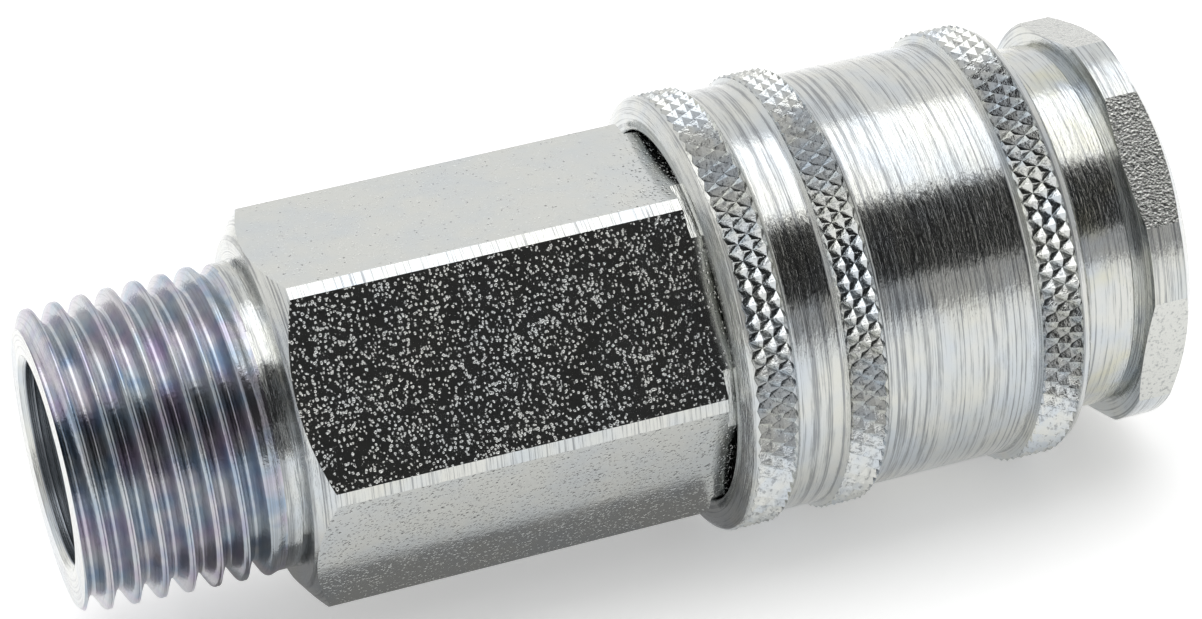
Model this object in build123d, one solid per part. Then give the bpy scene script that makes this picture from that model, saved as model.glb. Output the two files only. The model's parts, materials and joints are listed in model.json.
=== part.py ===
from build123d import *
import math
import os

# Quick disconnect coupler for compressed air: a male pipe thread and a long hexagon at one end, a
# spring-loaded locking sleeve, and a hexagon nose at the end that the plug goes into.
#
# Millimetres. The coupler's axis is X, from the thread's end face at x = 0 to the nose. +Z is up and
# two of the body hexagon's flats face +Z and -Z. Every "_x" value is a place along that axis.

# ---- male pipe thread, R 1/2: 14 threads per inch, 55 degree form, taper 1 in 16 on diameter
THREAD_PITCH = 25.4 / 14
THREAD_MAJOR_RADIUS = 20.955 / 2
THREAD_GAUGE_LENGTH = 8.2
THREAD_TAPER = 1 / 32
THREAD_FLANK_ANGLE = 27.5
THREAD_DEPTH_PER_PITCH = 0.640327
THREAD_LENGTH = 13.2
THREAD_TURN_ANGLE = 29.0
THREAD_END_CHAMFER = 0.9
RUNOUT_LENGTH = 1.2
RUNOUT_STEP = 0.3
RUNOUT_RADIUS = 10.45
UNDERCUT_LENGTH = 0.4
UNDERCUT_RADIUS = 9.9

# ---- body hexagon and the round tail that guides the sleeve
HEX_WIDTH = 24.0
HEX_CORNER_TRIM = 0.256
HEX_LENGTH = 28.1
HEX_CHAMFER = 1.3
HEX_CHAMFER_RATIO = 1.4
TAIL_CORNER_RISE = 0.8
TAIL_GUIDE_LENGTH = 1.8
AIR_BORE_RADIUS = 6.93
AIR_BORE_CHAMFER = 0.4

# ---- barrel, the tube that the plug slides into
PLUG_BORE_RADIUS = 6.05
BARREL_WALL = 1.9
BARREL_TAIL_WALL = 2.35
BARREL_TAIL_LENGTH = 7.0
BARREL_SHOULDER_STEP = 1.35
BARREL_SHOULDER_LENGTH = 3.8
BARREL_SHOULDER_CHAMFER = 0.5
BARREL_FRONT_CHAMFER = 0.5

# ---- nose cap: neck, hexagon flange and lead-in
NECK_LENGTH = 8.05
NECK_CHAMFER = 0.3
NECK_GROOVE_WIDTH = 0.6
NECK_GROOVE_DEPTH = 0.35
NOSE_HEX_STEP = 3.0
NOSE_CORNER_RISE = 0.8
NOSE_HEX_TURN = -11.3
NOSE_BACK_CHAMFER = 0.8
NOSE_BACK_RIM_DROP = 0.3
NOSE_FLANGE_LENGTH = 3.7
NOSE_FRONT_CHAMFER = 1.1
NOSE_FRONT_CHAMFER_RATIO = 1.7
NOSE_LIP_LENGTH = 3.7
NOSE_LEAD_IN = 0.9

# ---- sleeve, outside
SLEEVE_WALL = 2.38
LIP_DROP = 1.25
RING_EASE = 0.5
BACK_RING_START = 0.9
BACK_RING_WIDTH = 2.5
MIDDLE_RING_START = 7.5
MIDDLE_RING_WIDTH = 2.3
FRONT_RING_WIDTH = 2.6
FRONT_RIM_LENGTH = 1.0
FRONT_RIM_DROP = 1.2
BACK_BAND_DEPTH = 0.55
FRONT_BAND_DEPTH = 0.75

# ---- sleeve, inside. With no plug in, it stands back by the hexagon, and it springs forward by its
# travel as a plug goes in.
SLEEVE_TRAVEL = 3.2
SLIDE_CLEARANCE = 0.07
MOUTH_GAP = 0.6
STOP_GAP = 0.05
FRONT_GUIDE_LENGTH = 6.8
RIB_LAND = 0.7
RIB_FRONT_LENGTH = 1.4
RIB_FRONT_LAND = 0.5

# ---- locking balls
BALL_COUNT = 6
BALL_RADIUS = 1.75
BALL_BITE = 1.0
BALL_RELEASE_GAP = 0.05
BALL_CLEARANCE = 0.02
BALL_HOLE_CLEARANCE = 0.05
BALL_LIP_HEIGHT = 0.2
BALL_BACK_MARGIN = 0.35

# ---- springs and their washers
SLEEVE_WIRE_RADIUS = 0.6
SLEEVE_SPRING_TURNS = 3.0
SLEEVE_SPRING_SPARE = 1.5
SLEEVE_SPRING_GAP = 0.4
WASHER_THICKNESS = 0.7
WASHER_CLEARANCE = 0.08
WASHER_EDGE = 0.7
VALVE_WIRE_RADIUS = 0.45
VALVE_SPRING_TURNS = 4.0
VALVE_SPRING_SPARE = 0.77
VALVE_SPRING_INSET = 2.8
COIL_END_GAP = 0.02

# ---- shut-off valve
VALVE_TRAVEL = 3.8
VALVE_HEAD_GAP = 0.7
VALVE_HEAD_LENGTH = 2.4
VALVE_SEAL_THICKNESS = 1.1
VALVE_SEAL_GAP = 0.03
VALVE_SEAL_INSET = 0.1
VALVE_STEM_RADIUS = 1.8
VALVE_STEM_SET_BACK = 0.1
VALVE_SPIGOT_LENGTH = 2.2
VALVE_TUBE_CLEARANCE = 0.08
VALVE_TUBE_WALL = 1.7
VALVE_TUBE_CHAMFER = 0.4
VALVE_TUBE_LENGTH = 8.4
VALVE_WINDOW_COUNT = 4
VALVE_WINDOW_LENGTH = 2.6
VALVE_WINDOW_WIDTH = 4.6
GUIDE_RING_LENGTH = 1.8
GUIDE_RING_WALL = 1.1
GUIDE_SPIDER_SET_BACK = 0.1
GUIDE_HUB_WALL = 1.4
GUIDE_HUB_LENGTH = 2.6
GUIDE_SPOKE_COUNT = 3
GUIDE_SPOKE_WIDTH = 1.8
GUIDE_CLEARANCE = 0.06

# ---- rubber rings
PLUG_SEAL_SECTION = 0.78
PLUG_SEAL_FROM_SHOULDER = 2.0
BODY_SEAL_SECTION = 0.5
BODY_SEAL_FROM_SHOULDER = 1.4
NOSE_SEAL_SECTION = 0.45
NOSE_SEAL_FROM_FRONT = 1.6
SEAL_GAP = 0.03
SEAL_GROOVE_SIDE_GAP = 0.12

# ---- how far a cutting shape runs past the faces that it cuts
CUT_MARGIN = 1.0
THREAD_CUT_MARGIN = 0.2

# ---- radii worked out from the sizes above
hex_corner_radius = HEX_WIDTH / math.sqrt(3) - HEX_CORNER_TRIM
tail_radius = HEX_WIDTH / 2 + TAIL_CORNER_RISE
neck_radius = tail_radius
nose_hex_width = HEX_WIDTH + NOSE_HEX_STEP
nose_corner_radius = nose_hex_width / 2 + NOSE_CORNER_RISE
slide_radius = tail_radius + SLIDE_CLEARANCE
ring_radius = slide_radius + SLEEVE_WALL
barrel_radius = PLUG_BORE_RADIUS + BARREL_WALL
barrel_shoulder_radius = barrel_radius + BARREL_SHOULDER_STEP
chamber_radius = PLUG_BORE_RADIUS + BARREL_TAIL_WALL
ball_locked_radius = PLUG_BORE_RADIUS - BALL_BITE + BALL_RADIUS
ball_released_radius = PLUG_BORE_RADIUS + BALL_RELEASE_GAP + BALL_RADIUS
cone_slope = (ball_released_radius - ball_locked_radius) / SLEEVE_TRAVEL
cone_at_ball = ball_released_radius + (BALL_RADIUS + BALL_CLEARANCE) * math.hypot(1, cone_slope)
sleeve_spring_radius = barrel_shoulder_radius + SLEEVE_SPRING_GAP + SLEEVE_WIRE_RADIUS
washer_radius = sleeve_spring_radius + SLEEVE_WIRE_RADIUS + WASHER_EDGE
valve_spring_radius = chamber_radius - VALVE_SPRING_INSET
valve_head_radius = chamber_radius - VALVE_HEAD_GAP
tube_radius = PLUG_BORE_RADIUS - VALVE_TUBE_CLEARANCE
spigot_radius = tube_radius - VALVE_TUBE_WALL
plug_seal_radius = tube_radius + SEAL_GAP + PLUG_SEAL_SECTION

# ---- places worked out from the sizes above, from the thread to the nose
hex_x = THREAD_LENGTH + RUNOUT_LENGTH + UNDERCUT_LENGTH
tail_x = hex_x + HEX_LENGTH
sleeve_x = tail_x + MOUTH_GAP
barrel_seat_x = sleeve_x + SLEEVE_TRAVEL + TAIL_GUIDE_LENGTH
barrel_back_x = barrel_seat_x - BARREL_TAIL_LENGTH
sleeve_spring_length = 2 * SLEEVE_WIRE_RADIUS * SLEEVE_SPRING_TURNS + SLEEVE_SPRING_SPARE
rib_x = barrel_seat_x + 2 * WASHER_THICKNESS + sleeve_spring_length
ball_x = rib_x + SLEEVE_TRAVEL + BALL_RADIUS + BALL_BACK_MARGIN
rib_end_x = ball_x + RIB_FRONT_LENGTH
sleeve_end_x = rib_end_x + FRONT_GUIDE_LENGTH
cap_back_x = rib_end_x + SLEEVE_TRAVEL + STOP_GAP
flange_x = cap_back_x + NECK_LENGTH
nose_x = flange_x + NOSE_FLANGE_LENGTH
barrel_front_x = nose_x - NOSE_LIP_LENGTH
plug_seal_x = barrel_seat_x + PLUG_SEAL_FROM_SHOULDER
body_seal_x = barrel_seat_x - BODY_SEAL_FROM_SHOULDER
nose_seal_x = barrel_front_x - NOSE_SEAL_FROM_FRONT
seal_face_x = barrel_back_x - VALVE_SEAL_GAP
head_x = seal_face_x - VALVE_SEAL_THICKNESS
head_back_x = head_x - VALVE_HEAD_LENGTH
valve_spring_length = VALVE_TRAVEL + 2 * VALVE_WIRE_RADIUS * VALVE_SPRING_TURNS + VALVE_SPRING_SPARE
guide_front_x = head_back_x - valve_spring_length
chamber_x = guide_front_x - GUIDE_RING_LENGTH


# ---- ways of making shapes
def turned(*corners):
    """Solid of revolution about X, from the (x, radius) corners of its section."""
    outline = Polyline(*[(x, 0, radius) for x, radius in corners], close=True)
    return revolve(make_face(outline), Axis.X)


def tube(start_x, end_x, outer, inner):
    return turned((start_x, inner), (end_x, inner), (end_x, outer), (start_x, outer))


def rod(start_x, end_x, radius):
    return turned((start_x, 0), (end_x, 0), (end_x, radius), (start_x, radius))


def hexagon(start_x, end_x, across_flats, turn=0.0):
    section = RegularPolygon(across_flats / 2, 6, major_radius=False, rotation=turn)
    return extrude(Plane.YZ.offset(start_x) * section, end_x - start_x)


def ring_seal(x, radius, section):
    return Pos(x, 0, 0) * Rot(0, 90, 0) * Torus(radius, section)


def around_axis(count, start=0.0):
    """Turns about X that space count copies evenly."""
    return [Rot(start + 360 * i / count, 0, 0) for i in range(count)]


def coil(start_x, end_x, radius, wire, turns):
    """Compression spring between two faces, its wire's ends just clear of them."""
    first = start_x + wire + COIL_END_GAP
    last = end_x - wire - COIL_END_GAP
    path = Helix((last - first) / turns, last - first, radius, center=(first, 0, 0), direction=(1, 0, 0))
    section = Plane(path @ 0, z_dir=path % 0) * Circle(wire)
    return sweep(section, path, is_frenet=True)


# ---- fixed pieces
def thread_radius(x):
    return THREAD_MAJOR_RADIUS + (x - THREAD_GAUGE_LENGTH) * THREAD_TAPER


def thread_groove():
    """The V cut of the thread, from a turn outside the end face to the run-out."""
    depth = THREAD_DEPTH_PER_PITCH * THREAD_PITCH
    spread = math.tan(math.radians(THREAD_FLANK_ANGLE))
    root_half = THREAD_PITCH / 12
    start_x = -THREAD_PITCH
    helix = Helix(
        THREAD_PITCH,
        THREAD_LENGTH - start_x,
        thread_radius(start_x) - depth,
        center=(start_x, 0, 0),
        direction=(1, 0, 0),
        cone_angle=math.degrees(math.atan(THREAD_TAPER)),
    )
    root = helix @ 0
    outward = Vector(0, root.Y, root.Z).normalized()
    along = Vector(1, 0, 0)
    cut_depth = depth + THREAD_CUT_MARGIN
    top_half = root_half + cut_depth * spread
    corners = [
        root - along * root_half,
        root + along * root_half,
        root + along * top_half + outward * cut_depth,
        root - along * top_half + outward * cut_depth,
    ]
    section = make_face(Polyline(*corners, close=True))
    return Rot(THREAD_TURN_ANGLE, 0, 0) * sweep(section, helix, is_frenet=True)


def rear_body():
    """Threaded hexagon body: thread, hexagon, and a tail with its corners turned off."""
    thread_blank = turned(
        (0, 0),
        (0, thread_radius(0) - THREAD_END_CHAMFER),
        (THREAD_END_CHAMFER, thread_radius(THREAD_END_CHAMFER)),
        (THREAD_LENGTH, thread_radius(THREAD_LENGTH)),
        (THREAD_LENGTH + RUNOUT_STEP, RUNOUT_RADIUS),
        (THREAD_LENGTH + RUNOUT_LENGTH, RUNOUT_RADIUS),
        (THREAD_LENGTH + RUNOUT_LENGTH, UNDERCUT_RADIUS),
        (hex_x + CUT_MARGIN, UNDERCUT_RADIUS),
        (hex_x + CUT_MARGIN, 0),
    )
    thread_blank -= thread_groove()
    envelope = turned(
        (hex_x, 0),
        (hex_x, hex_corner_radius - HEX_CHAMFER_RATIO * HEX_CHAMFER),
        (hex_x + HEX_CHAMFER, hex_corner_radius),
        (tail_x, hex_corner_radius),
        (tail_x, tail_radius),
        (barrel_seat_x, tail_radius),
        (barrel_seat_x, 0),
    )
    body = thread_blank + (hexagon(hex_x, barrel_seat_x, HEX_WIDTH) & envelope)
    inside = turned(
        (-CUT_MARGIN, 0),
        (-CUT_MARGIN, AIR_BORE_RADIUS + AIR_BORE_CHAMFER),
        (0, AIR_BORE_RADIUS + AIR_BORE_CHAMFER),
        (AIR_BORE_CHAMFER, AIR_BORE_RADIUS),
        (chamber_x, AIR_BORE_RADIUS),
        (chamber_x, chamber_radius),
        (barrel_seat_x + CUT_MARGIN, chamber_radius),
        (barrel_seat_x + CUT_MARGIN, 0),
    )
    return body - inside


def seal_groove(x, section, wall):
    """Ring to cut from a wall of this radius, with room for a rubber ring of this section."""
    half = section + SEAL_GROOVE_SIDE_GAP
    return tube(x - half, x + half, wall + CUT_MARGIN, wall - 2 * (section + SEAL_GAP))


def barrel():
    """Socket tube, screwed into the body, with a ball hole for each ball."""
    shoulder_end_x = barrel_seat_x + BARREL_SHOULDER_LENGTH
    piece = turned(
        (barrel_back_x, PLUG_BORE_RADIUS),
        (barrel_back_x, chamber_radius),
        (barrel_seat_x, chamber_radius),
        (barrel_seat_x, barrel_shoulder_radius),
        (shoulder_end_x - BARREL_SHOULDER_CHAMFER, barrel_shoulder_radius),
        (shoulder_end_x, barrel_shoulder_radius - BARREL_SHOULDER_CHAMFER),
        (shoulder_end_x, barrel_radius),
        (barrel_front_x, barrel_radius),
        (barrel_front_x, PLUG_BORE_RADIUS + BARREL_FRONT_CHAMFER),
        (barrel_front_x - BARREL_FRONT_CHAMFER, PLUG_BORE_RADIUS),
    )
    piece -= seal_groove(body_seal_x, BODY_SEAL_SECTION, chamber_radius)
    piece -= seal_groove(nose_seal_x, NOSE_SEAL_SECTION, barrel_radius)
    plug_half = PLUG_SEAL_SECTION + SEAL_GROOVE_SIDE_GAP
    plug_groove_radius = plug_seal_radius + PLUG_SEAL_SECTION + SEAL_GAP
    piece -= tube(
        plug_seal_x - plug_half,
        plug_seal_x + plug_half,
        plug_groove_radius,
        PLUG_BORE_RADIUS - CUT_MARGIN,
    )
    lip_radius = PLUG_BORE_RADIUS + BALL_LIP_HEIGHT
    lip_depth = ball_locked_radius - lip_radius
    lip_hole = math.sqrt(BALL_RADIUS**2 - lip_depth**2) + BALL_CLEARANCE
    wide_hole = BALL_RADIUS + BALL_HOLE_CLEARANCE
    hole = extrude(Plane.XY.offset(lip_radius) * Circle(wide_hole), barrel_radius)
    hole += extrude(Plane.XY.offset(PLUG_BORE_RADIUS / 2) * Circle(lip_hole), PLUG_BORE_RADIUS)
    for turn in around_axis(BALL_COUNT):
        piece -= turn * Pos(ball_x, 0, 0) * hole
    return piece


def nose_cap():
    """Neck and hexagon flange in one piece, screwed onto the barrel's front end."""
    groove_x = flange_x - NECK_GROOVE_WIDTH
    flange_low = nose_hex_width / 2 - NOSE_BACK_RIM_DROP
    envelope = turned(
        (cap_back_x, barrel_radius),
        (cap_back_x, neck_radius - NECK_CHAMFER),
        (cap_back_x + NECK_CHAMFER, neck_radius),
        (groove_x, neck_radius),
        (groove_x, neck_radius - NECK_GROOVE_DEPTH),
        (flange_x, neck_radius - NECK_GROOVE_DEPTH),
        (flange_x, flange_low),
        (flange_x + NOSE_BACK_CHAMFER, nose_corner_radius),
        (nose_x - NOSE_FRONT_CHAMFER, nose_corner_radius),
        (nose_x, nose_corner_radius - NOSE_FRONT_CHAMFER_RATIO * NOSE_FRONT_CHAMFER),
        (nose_x, PLUG_BORE_RADIUS + NOSE_LEAD_IN),
        (nose_x - NOSE_LEAD_IN, PLUG_BORE_RADIUS),
        (barrel_front_x, PLUG_BORE_RADIUS),
        (barrel_front_x, barrel_radius),
    )
    corners_off = hexagon(flange_x, nose_x + CUT_MARGIN, nose_hex_width, NOSE_HEX_TURN)
    keep = corners_off + rod(cap_back_x - CUT_MARGIN, flange_x, neck_radius + CUT_MARGIN)
    return envelope & keep


def valve_guide():
    """Spoked ring on the step of the valve chamber, which guides the valve's stem."""
    rim_radius = chamber_radius - GUIDE_CLEARANCE
    hole_radius = VALVE_STEM_RADIUS + GUIDE_CLEARANCE
    spider_x = chamber_x + GUIDE_SPIDER_SET_BACK
    hub_end_x = chamber_x + GUIDE_HUB_LENGTH
    piece = tube(chamber_x, guide_front_x, rim_radius, rim_radius - GUIDE_RING_WALL)
    piece += rod(spider_x, hub_end_x, hole_radius + GUIDE_HUB_WALL)
    spoke_height = rim_radius - GUIDE_RING_WALL / 2
    spoke_place = (Align.MIN, Align.CENTER, Align.MIN)
    spoke = Box(guide_front_x - spider_x, GUIDE_SPOKE_WIDTH, spoke_height, align=spoke_place)
    spoke = Pos(spider_x, 0, 0) * spoke
    for turn in around_axis(GUIDE_SPOKE_COUNT):
        piece += turn * spoke
    return piece - rod(chamber_x - CUT_MARGIN, hub_end_x + CUT_MARGIN, hole_radius)


# ---- moving pieces
def sleeve():
    """Locking sleeve: three raised grip rings outside, a coned rib over the balls inside."""
    back_ring_x = sleeve_x + BACK_RING_START
    back_ring_end_x = back_ring_x + BACK_RING_WIDTH
    middle_ring_x = sleeve_x + MIDDLE_RING_START
    middle_ring_end_x = middle_ring_x + MIDDLE_RING_WIDTH
    front_ring_end_x = sleeve_end_x - FRONT_RIM_LENGTH
    front_ring_x = front_ring_end_x - FRONT_RING_WIDTH
    back_band = ring_radius - BACK_BAND_DEPTH
    front_band = ring_radius - FRONT_BAND_DEPTH
    cone_x = rib_x + RIB_LAND
    cone_end_x = rib_end_x - RIB_FRONT_LAND
    cone_small = cone_at_ball + (cone_x - ball_x) * cone_slope
    cone_large = cone_at_ball + (cone_end_x - ball_x) * cone_slope
    return turned(
        (sleeve_x, slide_radius),
        (sleeve_x, ring_radius - LIP_DROP),
        (back_ring_x, ring_radius),
        (back_ring_end_x, ring_radius),
        (back_ring_end_x + RING_EASE, back_band),
        (middle_ring_x - RING_EASE, back_band),
        (middle_ring_x, ring_radius),
        (middle_ring_end_x, ring_radius),
        (middle_ring_end_x + RING_EASE, front_band),
        (front_ring_x - RING_EASE, front_band),
        (front_ring_x, ring_radius),
        (front_ring_end_x, ring_radius),
        (sleeve_end_x, ring_radius - FRONT_RIM_DROP),
        (sleeve_end_x, slide_radius),
        (rib_end_x, slide_radius),
        (rib_end_x, cone_large),
        (cone_end_x, cone_large),
        (cone_x, cone_small),
        (rib_x, cone_small),
        (rib_x, slide_radius),
    )


def locking_ball(turn):
    """Ball at rest out of the socket, clear of a plug."""
    return turn * Pos(ball_x, 0, ball_released_radius) * Sphere(BALL_RADIUS)


def valve_head():
    """Valve disc with its stem behind and the spigot that the tube is screwed onto."""
    stem_x = chamber_x + VALVE_STEM_SET_BACK
    return turned(
        (stem_x, 0),
        (stem_x, VALVE_STEM_RADIUS),
        (head_back_x, VALVE_STEM_RADIUS),
        (head_back_x, valve_head_radius),
        (head_x, valve_head_radius),
        (head_x, spigot_radius),
        (head_x + VALVE_SPIGOT_LENGTH, spigot_radius),
        (head_x + VALVE_SPIGOT_LENGTH, 0),
    )


def valve_tube():
    """Windowed tube that the plug pushes on, and that lets the air past."""
    end_x = head_x + VALVE_TUBE_LENGTH
    piece = turned(
        (head_x, spigot_radius),
        (head_x, tube_radius),
        (end_x - VALVE_TUBE_CHAMFER, tube_radius),
        (end_x, tube_radius - VALVE_TUBE_CHAMFER),
        (end_x, spigot_radius),
    )
    window_height = tube_radius + CUT_MARGIN
    window_place = (Align.MIN, Align.CENTER, Align.MIN)
    window = Box(VALVE_WINDOW_LENGTH, VALVE_WINDOW_WIDTH, window_height, align=window_place)
    window = Pos(head_x + VALVE_SPIGOT_LENGTH, 0, 0) * window
    for turn in around_axis(VALVE_WINDOW_COUNT):
        piece -= turn * window
    return piece


def valve_seal():
    return tube(head_x, seal_face_x, valve_head_radius - VALVE_SEAL_INSET, tube_radius)


# ---- springs, washers and rubber rings
def sleeve_spring():
    start_x = barrel_seat_x + WASHER_THICKNESS
    end_x = rib_x - WASHER_THICKNESS
    return coil(start_x, end_x, sleeve_spring_radius, SLEEVE_WIRE_RADIUS, SLEEVE_SPRING_TURNS)


def valve_spring():
    return coil(guide_front_x, head_back_x, valve_spring_radius, VALVE_WIRE_RADIUS, VALVE_SPRING_TURNS)


def spring_washer_rear():
    inner = barrel_shoulder_radius + WASHER_CLEARANCE
    return tube(barrel_seat_x, barrel_seat_x + WASHER_THICKNESS, washer_radius, inner)


def spring_washer_front():
    inner = barrel_radius + WASHER_CLEARANCE
    return tube(rib_x - WASHER_THICKNESS, rib_x, washer_radius, inner)


def plug_seal():
    return ring_seal(plug_seal_x, plug_seal_radius, PLUG_SEAL_SECTION)


def body_seal():
    return ring_seal(body_seal_x, chamber_radius - SEAL_GAP - BODY_SEAL_SECTION, BODY_SEAL_SECTION)


def nose_seal():
    return ring_seal(nose_seal_x, barrel_radius - SEAL_GAP - NOSE_SEAL_SECTION, NOSE_SEAL_SECTION)


pieces = {
    "rear_body": rear_body(),
    "barrel": barrel(),
    "nose_cap": nose_cap(),
    "sleeve": sleeve(),
    "sleeve_spring": sleeve_spring(),
    "spring_washer_rear": spring_washer_rear(),
    "spring_washer_front": spring_washer_front(),
    "plug_seal": plug_seal(),
    "body_seal": body_seal(),
    "nose_seal": nose_seal(),
    "valve_head": valve_head(),
    "valve_tube": valve_tube(),
    "valve_seal": valve_seal(),
    "valve_spring": valve_spring(),
    "valve_guide": valve_guide(),
}
for number, turn in enumerate(around_axis(BALL_COUNT), start=1):
    pieces[f"locking_ball_{number}"] = locking_ball(turn)

os.makedirs("parts", exist_ok=True)
for name, piece in pieces.items():
    export_step(piece, f"parts/{name}.step")
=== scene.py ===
"""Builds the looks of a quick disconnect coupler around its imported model.

The coupler's axis is X, from the thread's end face at 0 to the nose, and +Z is up. Pieces are modelled
in millimetres and brought to metres when they are finished.
"""

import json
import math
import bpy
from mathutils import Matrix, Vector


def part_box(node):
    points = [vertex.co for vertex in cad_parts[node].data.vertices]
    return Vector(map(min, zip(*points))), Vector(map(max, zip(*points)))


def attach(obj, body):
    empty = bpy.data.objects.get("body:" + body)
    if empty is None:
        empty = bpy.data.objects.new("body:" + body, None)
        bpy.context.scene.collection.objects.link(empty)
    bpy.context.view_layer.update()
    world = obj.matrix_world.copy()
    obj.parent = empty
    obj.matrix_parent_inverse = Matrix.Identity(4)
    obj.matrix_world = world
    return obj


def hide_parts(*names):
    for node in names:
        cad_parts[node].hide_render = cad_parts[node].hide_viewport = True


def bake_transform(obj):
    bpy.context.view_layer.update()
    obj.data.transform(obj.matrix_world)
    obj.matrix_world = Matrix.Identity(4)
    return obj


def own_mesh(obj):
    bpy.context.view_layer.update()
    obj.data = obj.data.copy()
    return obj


bl_info = {
    "name": "Quick disconnect coupler",
    "version": (1, 0, 0),
    "blender": (4, 5, 0),
    "location": "3D View > Sidebar > Coupler",
    "description": "Zinc-plated quick disconnect coupler with a knurled locking sleeve",
    "category": "Add Mesh",
}

import bpy
from mathutils import Euler, Matrix, Vector

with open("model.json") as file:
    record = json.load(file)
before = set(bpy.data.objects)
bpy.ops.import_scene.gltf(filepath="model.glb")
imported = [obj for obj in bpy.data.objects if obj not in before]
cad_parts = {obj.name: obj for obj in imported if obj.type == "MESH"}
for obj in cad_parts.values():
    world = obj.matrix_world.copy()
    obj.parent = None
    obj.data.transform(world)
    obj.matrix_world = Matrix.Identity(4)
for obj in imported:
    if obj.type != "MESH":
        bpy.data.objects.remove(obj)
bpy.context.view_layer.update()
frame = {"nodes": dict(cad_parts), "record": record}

MM = 0.001
AROUND = 160
FULL_TURN = 2 * math.pi
SAME_PLACE = 0.0005  # points this near each other are one point, in mm
NEAR = 0.01  # how near a point is to a surface that it lies on, in mm
BEYOND = 1  # how far a cutting shape stands past what it cuts, in mm


# ---------------------------------------------------------------- places read from the frame, in mm
def span(node):
    """Lowest and highest X of a CAD node, in mm."""
    low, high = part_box(node)
    return low.x / MM, high.x / MM


def reach(node):
    """Largest distance of a CAD node from the axis, measured upwards, in mm."""
    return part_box(node)[1].z / MM


SLEEVE_START, SLEEVE_END = span("sleeve")
BODY_END = span("rear_body")[1]
NOSE_START, NOSE_END = span("nose_cap")
RING_RADIUS = reach("sleeve")
HEX_HALF_WIDTH = reach("rear_body")
NECK_RADIUS = HEX_HALF_WIDTH + 0.8


# ---------------------------------------------------------------- what a user can change
def length_property(name, description, millimetres):
    return bpy.props.FloatProperty(
        name=name, description=description, default=millimetres * MM, subtype="DISTANCE"
    )


class CouplerSizes(bpy.types.PropertyGroup):
    """Sizes of the visible details"""

    thread_pitch: length_property("Thread pitch", "14 threads per inch", 25.4 / 14)
    thread_length: length_property("Thread length", "From the end face to the run-out", 13.2)
    thread_turn: length_property(
        "Thread start", "How far from the end face the first crest is, on top", 1.004
    )
    hex_bevel: length_property("Hexagon edge", "Rounding of the hexagon's edges", 0.06)
    nose_turn: bpy.props.FloatProperty(
        name="Nose turn",
        description="How far the nose hexagon is turned against the body's",
        default=math.radians(-11.3),
        subtype="ANGLE",
    )
    knurl_depth: length_property("Knurl depth", "Depth of the diamond knurl", 0.42)
    knurl_rows: bpy.props.IntProperty(
        name="Knurl rows", description="Half diamonds across each grip ring", default=3, min=2
    )
    sleeve_wire: length_property("Sleeve spring wire", "Diameter of its wire", 1.2)
    sleeve_coils: bpy.props.FloatProperty(
        name="Sleeve spring coils", description="Turns of its wire", default=3.0
    )
    valve_wire: length_property("Valve spring wire", "Diameter of its wire", 0.9)
    valve_coils: bpy.props.FloatProperty(
        name="Valve spring coils", description="Turns of its wire", default=4.0
    )


def linear(hexadecimal):
    """sRGB hex colour as linear red, green, blue and a full alpha."""
    shares = [int(hexadecimal[i : i + 2], 16) / 255 for i in (1, 3, 5)]
    return (*(s / 12.92 if s <= 0.04045 else ((s + 0.055) / 1.055) ** 2.4 for s in shares), 1.0)


def colour_property(name, description, hexadecimal):
    colour = linear(hexadecimal)
    return bpy.props.FloatVectorProperty(
        name=name, description=description, default=colour, size=4, subtype="COLOR", min=0, max=1
    )


class CouplerColours(bpy.types.PropertyGroup):
    """Colours of the metals, the rubber and the floor"""

    zinc: colour_property("Zinc plate", "Clear passivated zinc", "#CBCCC8")
    zinc_blue: colour_property("Blue tint", "Where the passivate is thin", "#BFC5CA")
    zinc_pink: colour_property("Pink tint", "Interference colour in the thread", "#ADA5B6")
    thread_blue: colour_property("Thread blue", "Interference colour on the thread's flanks", "#93A3B5")
    zinc_bore: colour_property("Zinc in the bore", "Thin dull plating inside the drilled bore", "#A0A6AD")
    zinc_straw: colour_property("Straw tint", "Interference colour on the neck", "#CBC8AC")
    # Painted shade: darker zinc laid into the ruts, creases and hollows of the metals, where shade falls
    zinc_shade: colour_property("Zinc in the ruts", "Zinc darkened as painted shade in ruts, creases and hollows", "#6E7175")
    # Painted shade: darker zinc laid into the bottoms of pits and the drill's ruts in the bore
    pit_shade: colour_property("Zinc in the pits", "Zinc darkened as painted shade in pit bottoms and the bore's ruts", "#5A5C5E")
    brass: colour_property("Brass", "Turned brass of the valve", "#C9A860")
    brass_tarnish: colour_property("Tarnish", "Older brass", "#9C7A42")
    wire: colour_property("Spring wire", "Drawn spring steel", "#9A9C9F")
    bearing: colour_property("Bearing steel", "Polished balls", "#D8D9DB")
    rubber: colour_property("Rubber", "Nitrile rubber", "#1B1B1C")
    floor: colour_property("Floor", "Pale sweep under the coupler", "#F4F4F4")
    floor_mottle: colour_property("Floor mottle", "Faint cloudiness of the sweep", "#F1F1F0")
    card: colour_property("Black card", "Cards that darken the reflections", "#151515")


# ---------------------------------------------------------------- modelling helpers
def select_only(piece):
    bpy.ops.object.select_all(action="DESELECT")
    piece.select_set(True)
    bpy.context.view_layer.objects.active = piece


def start_piece(name):
    """One vertex on the axis, in edit mode, that an outline can be drawn from."""
    bpy.ops.object.select_all(action="DESELECT")
    bpy.ops.mesh.primitive_plane_add(size=1)
    piece = bpy.context.object
    piece.name = name
    piece.data.name = name
    bpy.ops.object.mode_set(mode="EDIT")
    bpy.ops.mesh.select_mode(type="VERT")
    bpy.ops.mesh.select_all(action="SELECT")
    bpy.ops.mesh.merge(type="CENTER")
    return piece


def draw_outline(points):
    """Moves the single vertex to the first (x, radius) point and extrudes it through the others."""
    x, radius = points[0]
    bpy.ops.transform.translate(value=(x, 0, radius))
    for (x0, r0), (x1, r1) in zip(points, points[1:]):
        bpy.ops.mesh.extrude_region_move(TRANSFORM_OT_translate={"value": (x1 - x0, 0, r1 - r0)})


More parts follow.
